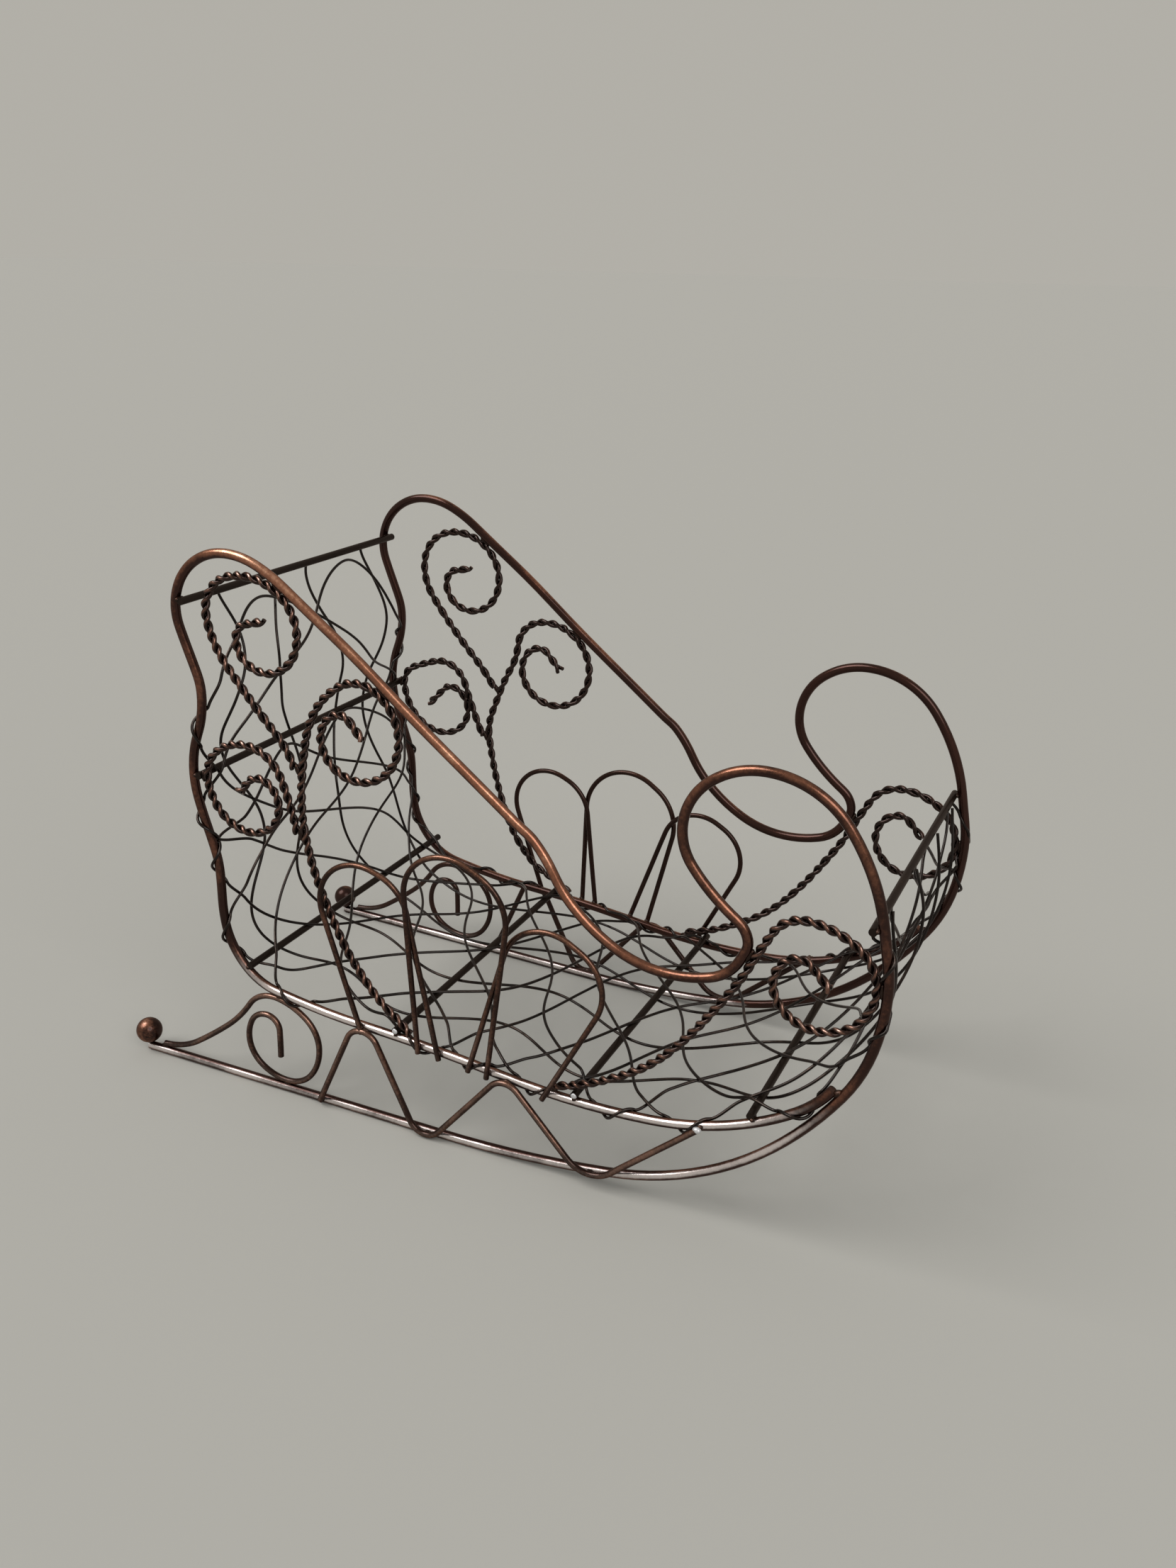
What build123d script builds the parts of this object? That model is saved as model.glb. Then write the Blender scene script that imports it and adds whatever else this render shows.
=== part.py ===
from build123d import *
from math import asin, atan2, ceil, cos, degrees, hypot, radians, sin, sqrt
import os

# A wire sleigh basket, in millimetres. X runs forward to the nose, Y to the left, Z up.
# The origin is on the ground under the middle of the box around the sleigh.

# --- overall sizes, between wire centres ---
side_length = 341.0     # tail of the runner to the front of the nose
side_height = 242.5     # runner to the top of the shoulder
side_spacing = 152.0    # between the two side frames, on the ground at mid length
toe_in = 1.30           # degrees that each side turns in towards the nose
lean_in = 0.88          # degrees that each side leans in towards its top

# --- stock ---
frame_d = 4.0           # heavy wire of the side frames
bar_d = 3.2             # straight cross bars
arch_d = 2.4            # plain wire of the arches
brace_d = 2.7           # plain wire between runner and floor rail
twist_d = 3.8           # outside of the two-strand twisted wire
mesh_d = 1.3            # thin wire of the woven mat
ball_d = 12.0           # ball on the tail of each runner
weld_gap = 0.1          # left between wires that are welded side by side
frame_sides = 12        # flats that stand for the round of the heavy wire
wire_sides = 8          # the same for the thinner wires
mesh_sides = 6          # the same for the wires of the mat

# --- ornaments ---
brace_places = (0.291, 0.36, 0.45, 0.562, 0.677, 0.808)    # the zigzag's start, bends and end
brace_bends = (8.0, 8.5, 8.0, 14.0)     # radius of each of its bends
brace_start = 0.4       # height of its rear end on the runner, in wire diameters
brace_drop = 0.7        # its upper bends lie this far below the rail's centre
arch_lean = 2.7         # degrees that the middle arch leans out, over its neighbours' legs

bar_places = {"rear_floor_bar": 0.4055, "mid_floor_bar": 0.652}     # bars on the floor rail

# --- woven mat ---
half_swing = 146.0      # length of the mat in which a zigzag wire goes from side to side once
# Each zigzag wire comes up the mat, turns over and goes down again. The turn is at this angle
# of its swing (0 is one side, 180 the other), and this many half swings below the top bar.
zigzag_turns = ((68, 0.02), (113, 0.045), (113, 0.51), (68, 0.54))
long_wires = 4          # wires that run down the mat under the bars
drift = 7.0             # how far the pattern is pulled out of true along the mat
slow_wave = 31.0        # length of the mat in which the slower pull changes by a radian
quick_wave = 13.0       # the same for the quicker pull
sway = 0.11             # pull across the mat, as a share of half its width
sway_wave = 23.0        # length of the mat in which that pull changes by a radian
side_dip = 3.4          # how far the zigzags bend down at the sides, between the bars


# ---------- stations: (x, z, heading) on the side drawing ----------

def station(x, z, heading):
    """x and z in thousandths of the side's length and height, heading in degrees."""
    return (x * side_length / 1000, z * side_height / 1000, heading)


def beside(spot, offset, turned=0):
    """The station offset to the left of spot, for a wire that runs along it."""
    x, z, heading = spot
    across = radians(heading + 90)
    return (x + offset * cos(across), z + offset * sin(across), heading + turned)


def point(x, z, y=0):
    return Vector(x, y, z)


def arc_or_line(start, heading, end):
    """The edge that leaves start along heading and ends at end."""
    way = Vector(cos(radians(heading)), 0, sin(radians(heading)))
    chord = end - start
    if abs(chord.cross(way).length) < 1e-4 * chord.length:
        return Line(start, end)
    return TangentArc(start, end, tangent=way)


def biarc(first, second):
    """Two tangent arcs from one station to the next."""
    a = point(first[0], first[1])
    b = point(second[0], second[1])
    ta = Vector(cos(radians(first[2])), 0, sin(radians(first[2])))
    tb = Vector(cos(radians(second[2])), 0, sin(radians(second[2])))
    gap = b - a
    along = gap.dot(ta + tb)
    spread = 2 * (1 - ta.dot(tb))
    if spread < 1e-9:
        reach = gap.dot(gap) / (2 * along)
    else:
        reach = (sqrt(along ** 2 + spread * gap.dot(gap)) - along) / spread
    leave = a + ta * reach
    arrive = b - tb * reach
    middle = (leave + arrive) * 0.5
    if abs(gap.cross(ta).length) + abs(gap.cross(tb).length) < 1e-4 * gap.length:
        return [Line(a, b)]
    joint = arrive - leave
    turn = degrees(atan2(joint.Z, joint.X))
    return [arc_or_line(a, first[2], middle), arc_or_line(middle, turn, b)]


def through(stations):
    """Edges that pass through all the stations."""
    edges = []
    for first, second in zip(stations, stations[1:]):
        edges += biarc(first, second)
    return edges


def curl(start, size, steps=10):
    """A spiral that goes on from a station and ends in a straight stretch.

    Its size is how far it turns, its first and last radius, how late it closes in (1 is
    evenly) and how long its straight end is.
    """
    turn, first_radius, last_radius, closing, straight_end = size
    x, z, heading = start
    side = 1 if turn > 0 else -1
    edges = []
    for step in range(steps):
        share = (step + 0.5) / steps
        radius = first_radius + (last_radius - first_radius) * share ** closing
        centre = beside((x, z, heading), side * radius)
        places = []
        for part in (0.0, 0.5, 1.0):
            angle = radians(heading - side * 90 + part * turn / steps)
            places.append(point(centre[0] + radius * cos(angle), centre[1] + radius * sin(angle)))
        edges.append(ThreePointArc(*places))
        x, z, heading = places[2].X, places[2].Z, heading + turn / steps
    way = point(cos(radians(heading)), sin(radians(heading)))
    edges.append(Line(places[2], places[2] + way * straight_end))
    return edges


def over_pins(pins):
    """A wire pulled tight over pins: (x, z, radius, +1 when it turns left, -1 right)."""
    edges = []
    arrive = None
    for first, second in zip(pins, pins[1:]):
        run = hypot(second[0] - first[0], second[1] - first[1])
        slope = atan2(second[1] - first[1], second[0] - first[0])
        way = slope - asin((second[3] * second[2] - first[3] * first[2]) / run)
        leave, land = [
            point(pin[0] + pin[3] * pin[2] * sin(way), pin[1] - pin[3] * pin[2] * cos(way))
            for pin in (first, second)
        ]
        if arrive is not None:
            edges.append(TangentArc(arrive[0], leave, tangent=arrive[1]))
        edges.append(Line(leave, land))
        arrive = (land, Vector(cos(way), 0, sin(way)))
    return edges


def rod(edges, diameter, sides=wire_sides):
    """Round wire along a smooth path, with a corner of its section on its outer side."""
    path = Wire(edges)
    end = Plane(origin=path @ 0, x_dir=(0, 1, 0), z_dir=path % 0)
    return sweep(end * RegularPolygon(diameter / 2, sides), path=path)


def seat_on(path, x, forward=True):
    """The station where a path that runs forward, or back, passes x."""
    low, high = 0.0, 1.0
    for _ in range(40):
        middle = (low + high) / 2
        if (path.position_at(middle).X < x) == forward:
            low = middle
        else:
            high = middle
    place = path.position_at(low)
    way = path.tangent_at(low)
    return (place.X, place.Z, degrees(atan2(way.Z, way.X)))


# ---------- side frame: one heavy wire, drawn in the XZ plane ----------

tail = (0.0, 0.0, 0)
lift = station(466, 0, 0)
nose_low = station(894, 164, 44)
nose_front = station(1000, 476, 90)
nose_bar_seat = station(989, 578, 101)
loop_top = station(854, 786, 180)
loop_rear = station(767, 675, 270)
loop_foot = station(812, 569, 318)
waist = station(848, 512, 278)
waist_low = station(841, 480, 246)
arm_dip = station(760, 427, 180)
arm_rise = station(642, 507, 133)
kink = station(594, 603, 132)
rail_low = station(569, 630, 142)
rail_mid = station(394, 824, 140)
rail_high = station(270, 957, 143)
shoulder = station(191, 1000, 180)
top_bar_seat = station(113, 914, 258)
back_neck = station(128, 815, 291)
back_bulge = station(140, 753, 271)
mid_bar_seat = station(118, 600, 270)
back_hollow = station(131, 510, 288)
back_low = station(147, 413, 271)
heel_top = station(149, 319, 278)
low_bar_seat = station(180, 233, 315)
heel_front = station(273, 190, 352)
floor_mid = station(438, 173, 356)
floor_low = station(667, 147, 0)
floor_front = station(827, 176, 18.5)
front_bar_seat = station(872, 202, 26)
nose_weld = station(965, 288, 58)
rail_tip = beside(nose_weld, frame_d + weld_gap)

runner_stations = [tail, lift, nose_low, nose_weld, nose_front, nose_bar_seat]
loop_stations = [
    nose_bar_seat, loop_top, loop_rear, loop_foot, waist, waist_low, arm_dip, arm_rise,
    kink, rail_low,
]
back_stations = [
    rail_low, rail_mid, rail_high, shoulder, top_bar_seat, back_neck, back_bulge,
    mid_bar_seat, back_hollow, back_low, heel_top, low_bar_seat,
]
floor_stations = [
    low_bar_seat, heel_front, floor_mid, floor_low, floor_front, front_bar_seat, rail_tip,
]
runner_path = Wire(through(runner_stations))
floor_path = Wire(through(floor_stations))
rail_path = Wire(through(back_stations[:4]))
frame_edges = through(runner_stations + loop_stations[1:] + back_stations[1:] + floor_stations[1:])

ground = frame_d / 2                     # height of the runner's centre
origin_x = side_length / 2
half_spacing = side_spacing / 2


def floor_at(x):
    return seat_on(floor_path, x)


def runner_at(x):
    return seat_on(runner_path, x)


def under_rail(x):
    """The station of a twisted wire that touches the slanted rail from below, running forward."""
    return beside(seat_on(rail_path, x, forward=False), touch, -180)


def side_place(left):
    """Where a side drawing stands: toed in, leaning in, and out from the middle."""
    place = Pos(origin_x, half_spacing, 0) * Rot(0, 0, -toe_in) * Rot(lean_in, 0, 0)
    return place * Pos(-origin_x, 0, 0)


def on_side(shape, left, out=0.0):
    """Puts a piece of the side drawing on the left or the right frame."""
    placed = side_place(True) * Pos(0, out, 0) * shape
    if not left:
        placed = mirror(placed, about=Plane.XZ)
    return placed


def side_point(x, z, out=0.0):
    """The place on the left side of a spot of the side drawing."""
    place = side_place(True) * Pos(x, out, z)
    return place.position


# ---------- pieces of one side ----------

def frame_wire():
    return rod(frame_edges, frame_d, frame_sides)


def tail_ball():
    rise = (frame_d + ball_d) / 2 + weld_gap
    return Pos(0, 0, rise) * Sphere(ball_d / 2)


touch = (frame_d + twist_d) / 2 + weld_gap      # twisted wire welded beside the frame
brace_touch = (frame_d + brace_d) / 2 + weld_gap
join = twist_d + weld_gap                       # twisted wires welded side by side

stem_clear = 1.4         # between the stem's foot and the bar behind it

# The sides are bent by hand and differ: the stem, its two branches and the nose scroll, where
# they touch the frame, their curls (see curl), and the three arches.
# An arch is its feet, then the two round corners of its bow as (x, z, radius).
hand_bent = {
    "right": {
        "stem_foot_turn": 134,
        "stem_low": station(369, 259, 129),
        "stem_mid": station(328, 344, 116),
        "rear_join": station(282, 530, 99),
        "upper_join": station(283, 645, 82),
        "front_rise": station(299, 739, 66),
        "front_seat": 0.4035,
        "front_curl": (-370, 22.2, 3.0, 1.7, 9.5),
        "upper_turn": 26,
        "upper_rise": station(220, 745, 132),
        "upper_left": station(157, 884, 101),
        "upper_seat": 0.2697,
        "upper_curl": (-310, 19.9, 4.1, 1.55, 9.2),
        "rear_turn": 2,
        "rear_top": station(202, 672, 178),
        "rear_curl": (318, 25.0, 5.6, 0.8, 7.5),
        "nose_top": station(911, 567, -2),
        "nose_curl": (-316, 21.4, 2.5, 1.65, 11.5),
        "rear_arch": ((357, 469), (364, 418, 19.7), (372, 412, 20.2)),
        "mid_arch": ((441, 538), (493, 474, 20.5), (505, 460, 21.5)),
        "front_arch": ((514, 616), (616, 376, 19.5), (626, 363, 20.5)),
    },
    "left": {
        "stem_foot_turn": 142,
        "stem_low": station(356, 252, 132),
        "stem_mid": station(326, 313, 114),
        "rear_join": station(289, 513, 96),
        "upper_join": station(309, 618, 68),
        "front_rise": station(340, 724, 83),
        "front_seat": 0.4396,
        "front_curl": (-369, 21.1, 2.4, 2.2, 11.0),
        "upper_turn": 55,
        "upper_rise": station(230, 738, 130),
        "upper_left": station(184, 872, 82),
        "upper_seat": 0.2930,
        "upper_curl": (-312, 20.3, 4.2, 1.5, 9.0),
        "rear_turn": 18,
        "rear_top": station(196, 659, 198),
        "rear_curl": (316, 28.0, 5.0, 0.75, 12.9),
        "nose_top": station(911, 567, 2),
        "nose_curl": (-317, 19.0, 2.2, 2.3, 10.0),
        "rear_arch": ((372, 466), (387, 374, 19.5), (393, 368, 20.0)),
        "mid_arch": ((444, 554), (512, 387, 22.5), (520, 377, 23.0)),
        "front_arch": ((526, 636), (630, 346, 19.0), (637, 337, 19.7)),
    },
}


def foot_on_floor(x, turn, diameter):
    """The end of a wire that stands on the floor rail, turned to a heading."""
    seat = floor_at(x)
    tilt = abs(sin(radians(turn - seat[2] - 90)))
    rise = frame_d / 2 + weld_gap + diameter / 2 * tilt
    spot = beside(seat, rise)
    return (spot[0], spot[1], turn)


def front_arm(bent):
    """The stem from the floor rail, which goes on into the front curl."""
    foot_turn = bent["stem_foot_turn"]
    past_bar = (bar_d + twist_d) / 2 / sin(radians(foot_turn)) + stem_clear
    foot = foot_on_floor(bar_places["rear_floor_bar"] * side_length + past_bar, foot_turn, twist_d)
    contact = under_rail(bent["front_seat"] * side_length)
    names = ("stem_low", "stem_mid", "rear_join", "upper_join", "front_rise")
    stations = [foot] + [bent[name] for name in names] + [contact]
    return rod(through(stations) + curl(contact, bent["front_curl"]), twist_d)


def upper_arm(bent):
    start = beside(bent["upper_join"], join, bent["upper_turn"])
    contact = under_rail(bent["upper_seat"] * side_length)
    stations = [start, bent["upper_rise"], bent["upper_left"], contact]
    return rod(through(stations) + curl(contact, bent["upper_curl"]), twist_d)


def rear_arm(bent):
    start = beside(bent["rear_join"], join, bent["rear_turn"])
    contact = beside(mid_bar_seat, touch + bar_d + weld_gap)
    stations = [start, bent["rear_top"], contact]
    return rod(through(stations) + curl(contact, bent["rear_curl"]), twist_d)


nose_scroll_foot = 0.620     # on the floor rail, as a share of the side's length
nose_scroll_turn = 16        # degrees from the rail to the wire that leaves it


def nose_scroll(bent):
    foot = beside(floor_at(nose_scroll_foot * side_length), touch, nose_scroll_turn)
    contact = beside(waist_low, touch, -180)
    end = beside(nose_front, touch, -180)
    stations = [foot, station(716, 227, 33), station(806, 363, 57), contact, bent["nose_top"], end]
    return rod(through(stations) + curl(end, bent["nose_curl"]), twist_d)


def runner_scroll():
    """S-shaped brace that fills the corner behind the heel."""
    tail_end = station(27, 0, 3)
    rail_seat = floor_at(station(228, 0, 0)[0])
    runner_seat = station(232, 0, 180)
    stations = [
        (tail_end[0], brace_touch, tail_end[2]),
        station(138, 96, 39),
        beside(rail_seat, -brace_touch),
        station(286, 106, -88),
        (runner_seat[0], brace_touch, runner_seat[2]),
        station(174, 81, 94),
        station(205, 145, 0),
        station(224, 63, -92),
    ]
    return rod(through(stations), brace_d)


def zigzag_brace():
    """Wave that joins runner and floor rail on their outer side."""
    start, *bends, end = brace_places
    pins = [(start * side_length, brace_start * brace_d, 0, 1)]
    for number, (share, radius) in enumerate(zip(bends, brace_bends)):
        x = share * side_length
        if number % 2 == 0:
            pins.append((x, floor_at(x)[1] - brace_drop - radius, radius, -1))
        else:
            pins.append((x, runner_at(x)[1] + radius, radius, 1))
    rail_end = floor_at(end * side_length)
    pins.append((rail_end[0], rail_end[1], 0, 1))
    return rod(over_pins(pins), brace_d)


def arch(bent, name):
    """Hairpin of plain wire whose feet are welded on the outside of the floor rail."""
    feet, back_corner, front_corner = bent[name]
    above_brace = brace_d / 2 - brace_drop + weld_gap
    ends = []
    for foot in feet:
        seat = floor_at(foot * side_length / 1000)
        ends.append((seat[0], seat[1] + above_brace, 0, 1))
    corners = []
    for x, z, radius in (back_corner, front_corner):
        corners.append((x * side_length / 1000, z * side_height / 1000, radius, -1))
    wire = rod(over_pins([ends[0]] + corners + [ends[1]]), arch_d)
    if name != "mid_arch":
        return wire
    hinge = min(end[1] for end in ends)
    return Pos(0, 0, hinge) * Rot(-arch_lean, 0, 0) * Pos(0, 0, -hinge) * wire


# ---------- across the sleigh ----------

def cross_bar(seat):
    """Bar laid on the inner side of both frames, as long as the sleigh is wide there."""
    rise = (frame_d + bar_d) / 2 + weld_gap
    spot = beside(seat, rise)
    end = side_point(spot[0], spot[1], frame_d / 2)
    path = Line(Vector(end.X, -end.Y, end.Z), end)
    return sweep(Plane(origin=path @ 0, z_dir=path % 0) * Circle(bar_d / 2), path=path)


# ---------- the woven mat ----------

def mat_path(rise):
    """Side view of a wire of the mat: down the back, along the floor and up the nose."""
    seats = [
        top_bar_seat, back_neck, back_bulge, mid_bar_seat, back_hollow, back_low, heel_top,
        low_bar_seat, heel_front, floor_mid, floor_low, floor_front, front_bar_seat,
    ]
    stations = [beside(seat, rise) for seat in seats]
    stations += [beside(nose_front, rise), beside(nose_bar_seat, rise)]
    return Wire(through(stations))


mat_rise = frame_d / 2 + bar_d + mesh_d / 2 + 2 * weld_gap      # on the bars
layer_step = mesh_d + 4 * weld_gap                              # from one layer to the next
zigzag_line = mat_path(mat_rise)
long_line = mat_path(frame_d / 2 - mesh_d / 2 - weld_gap)       # under the bars
long_steps = 80                         # points along a long wire
long_spread = 0.72                      # outermost long wires, as a share of half the width
long_sway = 0.11                        # how far they sway, as the same share
long_wave = 14.0                        # length in which the first one's sway changes by a radian


def line_length_at(line, seat, steps=400):
    """How far along a line of the mat the point nearest to a seat lies."""
    target = point(seat[0], seat[1])
    gaps = [((line @ (step / steps) - target).length, step / steps) for step in range(steps + 1)]
    return min(gaps)[1] * line.length


bar_seats = {
    "top_back_bar": top_bar_seat,
    "mid_back_bar": mid_bar_seat,
    "low_back_bar": low_bar_seat,
    "rear_floor_bar": floor_at(bar_places["rear_floor_bar"] * side_length),
    "mid_floor_bar": floor_at(bar_places["mid_floor_bar"] * side_length),
    "front_floor_bar": front_bar_seat,
    "nose_bar": nose_bar_seat,
}
bar_lengths = [line_length_at(zigzag_line, seat) for seat in bar_seats.values()]
dip_start, dip_end = 4.0, 17.0          # from a bar: no dip, full dip
dip_across = 0.7                        # share of half the width beyond which a zigzag dips
swing_steps = 22                        # points along one swing
bow = 9.0                               # radius of the turn of a zigzag wire
top_calm = 25.0                         # the pattern is even within this far of the top bar
layer_change = 0.085                    # part of a swing in which a wire changes layer
thin_run = 70.0                         # longest stretch of thin wire swept at once


def ease(share):
    """0 below 0, 1 above 1, smooth between."""
    share = min(max(share, 0.0), 1.0)
    return share * share * (3 - 2 * share)


def mat_point(line, length, across, rise):
    """A point of the mat: so far along the line, across as a share of half the width, and above."""
    share = min(max(length / line.length, 0.0), 1.0)
    spot = line @ share
    way = line % share
    place = point(spot.X - way.Z * rise, spot.Z + way.X * rise)
    inside = twist_d / 2 + mesh_d / 2 + 2 * weld_gap
    half_width = side_point(place.X, place.Z).Y - inside
    return Vector(place.X, across * half_width, place.Z)


def thin_wire(points):
    """Thin wire through points in space, swept in short lengths."""
    curve = Spline(*points)
    lengths = ceil(curve.length / thin_run)
    path = Wire([curve.trim(part / lengths, (part + 1) / lengths) for part in range(lengths)])
    section = Plane(origin=path @ 0, z_dir=path % 0) * RegularPolygon(mesh_d / 2, mesh_sides)
    return sweep(section, path=path)


def uneven(length, across):
    """The same place of the mat after its even pattern is pulled a little out of true."""
    slow = sin(length / slow_wave + 0.8 * across)
    quick = sin(length / quick_wave - 1.7 * across)
    shift = drift * (slow + 0.6 * quick)
    pull = sway * (1 - across * across) * sin(length / sway_wave + 2.0 * across)
    return length + shift * ease(length / top_calm), across + pull


def zigzag_wire(turn_angle, turn_place):
    """A thin wire that swings from side to side up the mat, turns over and swings down again.

    It runs over the others one way and under them on the way back.
    """
    points = []
    most = ceil(zigzag_line.length / half_swing + 1) * swing_steps
    for step in range(-most, most + 1):
        run = step * half_swing / swing_steps
        angle = 180 * step / swing_steps + turn_angle
        even = turn_place * half_swing + hypot(run, bow) - bow
        length, across = uneven(even, cos(radians(angle)))
        if length > zigzag_line.length:
            continue
        crossing, share = divmod(angle / 180, 1)
        way = 1 if crossing % 2 == 0 else -1
        way *= ease(min(share, 1 - share) / layer_change) * (2 * ease(0.5 + 0.5 * run / bow) - 1)
        rise = layer_step * (0.5 + 0.5 * way)
        near_bar = min(abs(length - bar) for bar in bar_lengths)
        between_bars = ease((near_bar - dip_start) / (dip_end - dip_start))
        dip = side_dip * between_bars * ease((abs(across) - dip_across) / (1 - dip_across))
        points.append(mat_point(zigzag_line, length, across, rise - dip))
    return thin_wire(points)


def long_wire(row):
    """A thin wire that runs the length of the mat under the bars, swaying a little."""
    even = long_spread * (2 * row / (long_wires - 1) - 1)
    points = []
    for step in range(long_steps + 1):
        length = long_line.length * step / long_steps
        across = even + long_sway * sin(length / (long_wave + 2 * row) + 2.1 * row)
        points.append(mat_point(long_line, length, across, 0))
    return thin_wire(points)


# ---------- all the pieces ----------

pieces = {}
for side_name, left in (("left", True), ("right", False)):
    bent = hand_bent[side_name]
    in_plane = {
        "frame_wire": frame_wire(),
        "tail_ball": tail_ball(),
        "front_arm": front_arm(bent),
        "upper_arm": upper_arm(bent),
        "rear_arm": rear_arm(bent),
        "nose_scroll": nose_scroll(bent),
        "runner_scroll": runner_scroll(),
    }
    for name, shape in in_plane.items():
        pieces[side_name + "_" + name] = on_side(shape, left)
    pieces[side_name + "_zigzag_brace"] = on_side(zigzag_brace(), left, brace_touch)
    for name in ("rear_arch", "mid_arch", "front_arch"):
        outside = (frame_d + arch_d) / 2 + weld_gap
        pieces[side_name + "_" + name] = on_side(arch(bent, name), left, outside)

for name, seat in bar_seats.items():
    pieces[name] = cross_bar(seat)
pieces["mat_zigzag_wires"] = Compound(children=[zigzag_wire(*turn) for turn in zigzag_turns])
pieces["mat_long_wires"] = Compound(children=[long_wire(row) for row in range(long_wires)])

os.makedirs("parts", exist_ok=True)
for name, piece in pieces.items():
    export_step(Pos(-origin_x, 0, ground) * piece, "parts/" + name + ".step")
    print(name, round(piece.volume, 1))
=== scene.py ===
import heapq
import math
import bmesh
import bpy
import numpy as np
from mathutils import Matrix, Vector


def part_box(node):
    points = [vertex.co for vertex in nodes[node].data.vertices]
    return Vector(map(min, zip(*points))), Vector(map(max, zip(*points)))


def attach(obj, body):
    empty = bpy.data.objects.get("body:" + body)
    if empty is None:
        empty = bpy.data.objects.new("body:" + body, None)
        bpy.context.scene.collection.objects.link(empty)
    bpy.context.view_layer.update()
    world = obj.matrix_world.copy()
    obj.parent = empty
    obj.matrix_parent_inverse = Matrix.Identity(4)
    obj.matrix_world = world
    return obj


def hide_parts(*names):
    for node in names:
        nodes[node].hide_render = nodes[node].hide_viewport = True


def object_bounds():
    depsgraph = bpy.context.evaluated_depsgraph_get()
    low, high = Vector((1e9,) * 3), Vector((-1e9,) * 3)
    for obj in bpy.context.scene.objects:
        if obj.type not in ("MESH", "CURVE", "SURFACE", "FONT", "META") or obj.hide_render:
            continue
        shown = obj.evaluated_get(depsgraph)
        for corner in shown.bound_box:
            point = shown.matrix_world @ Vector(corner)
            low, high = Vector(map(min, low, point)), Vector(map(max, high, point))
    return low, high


# A wire sleigh basket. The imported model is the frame; here its wires are finished: they are
# drawn round, the twisted ones get their strands, the mat is laced on and the joints are welded.

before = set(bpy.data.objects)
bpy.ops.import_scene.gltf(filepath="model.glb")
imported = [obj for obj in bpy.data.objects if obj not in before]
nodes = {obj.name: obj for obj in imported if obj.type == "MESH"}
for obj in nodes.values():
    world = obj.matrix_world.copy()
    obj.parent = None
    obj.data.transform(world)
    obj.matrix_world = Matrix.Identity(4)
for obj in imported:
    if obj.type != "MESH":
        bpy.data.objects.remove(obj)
cadBox = [list(corner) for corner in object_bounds()]
mm = 0.001
sideNames = ("left", "right")
print("frame loaded:", len(nodes), "nodes")


# small helpers for node trees

def addNode(tree, kind, **settings):
    node = tree.nodes.new(kind)
    for key, value in settings.items():
        setattr(node, key, value)
    return node


def feed(tree, socket, value):
    # an output is linked, anything else is set on the input itself
    if isinstance(value, bpy.types.NodeSocket):
        tree.links.new(value, socket)
    else:
        socket.default_value = value


def calc(tree, operation, *values):
    node = addNode(tree, "ShaderNodeMath", operation=operation)
    for socket, value in zip(node.inputs, values):
        feed(tree, socket, value)
    return node.outputs[0]


def vectorCalc(tree, operation, *values):
    node = addNode(tree, "ShaderNodeVectorMath", operation=operation)
    for socket, value in zip(node.inputs, values):
        feed(tree, socket, value)
    return node.outputs["Vector"]


def scaled(tree, vector, factor):
    node = addNode(tree, "ShaderNodeVectorMath", operation="SCALE")
    feed(tree, node.inputs["Vector"], vector)
    feed(tree, node.inputs["Scale"], factor)
    return node.outputs["Vector"]


def newGeometryTree(name, inputs):
    tree = bpy.data.node_groups.new(name, "GeometryNodeTree")
    tree.interface.new_socket("Geometry", in_out="INPUT", socket_type="NodeSocketGeometry")
    tree.interface.new_socket("Geometry", in_out="OUTPUT", socket_type="NodeSocketGeometry")
    for label, kind, value in inputs + [("Material", "NodeSocketMaterial", None)]:
        socket = tree.interface.new_socket(label, in_out="INPUT", socket_type=kind)
        if value is not None:
            socket.default_value = value
    return tree, addNode(tree, "NodeGroupInput"), addNode(tree, "NodeGroupOutput")


def closeTree(tree, start, end, geometry):
    # every tree ends in real geometry with its material on it
    real = addNode(tree, "GeometryNodeRealizeInstances")
    tree.links.new(geometry, real.inputs["Geometry"])
    paint = addNode(tree, "GeometryNodeSetMaterial")
    tree.links.new(real.outputs["Geometry"], paint.inputs["Geometry"])
    tree.links.new(start.outputs["Material"], paint.inputs["Material"])
    tree.links.new(paint.outputs["Geometry"], end.inputs["Geometry"])


# centre lines of the wires, read from the frame

reading = {
    "step": 1.0,           # mm between the points of a line
    "merge": 0.002,        # mm within which loose corners are one
    "rimAngle": 80,        # degrees of bend at the rim of a wire's end
    "rimReach": 2.5,       # how far from an end its rim may lie, in wire radii
}


def solidsOf(shell):
    seen, solids = set(), []
    for first in shell.verts:
        if first in seen:
            continue
        seen.add(first)
        solid = [first]
        for vertex in solid:            # grows while it is read
            for edge in vertex.link_edges:
                other = edge.other_vert(vertex)
                if other not in seen:
                    seen.add(other)
                    solid.append(other)
        solids.append(solid)
    return solids


def distancesFrom(first, centres):
    # how far along the wire each vertex lies, measured between centres
    found, queue, count = {}, [(0.0, 0, first)], 0
    while queue:
        distance, _, vertex = heapq.heappop(queue)
        if vertex in found:
            continue
        found[vertex] = distance
        for edge in vertex.link_edges:
            other = edge.other_vert(vertex)
            if other not in found:
                count += 1          # settles ties, so that every run reads the same line
                further = distance + (centres[other] - centres[vertex]).length
                heapq.heappush(queue, (further, count, other))
    return found


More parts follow.
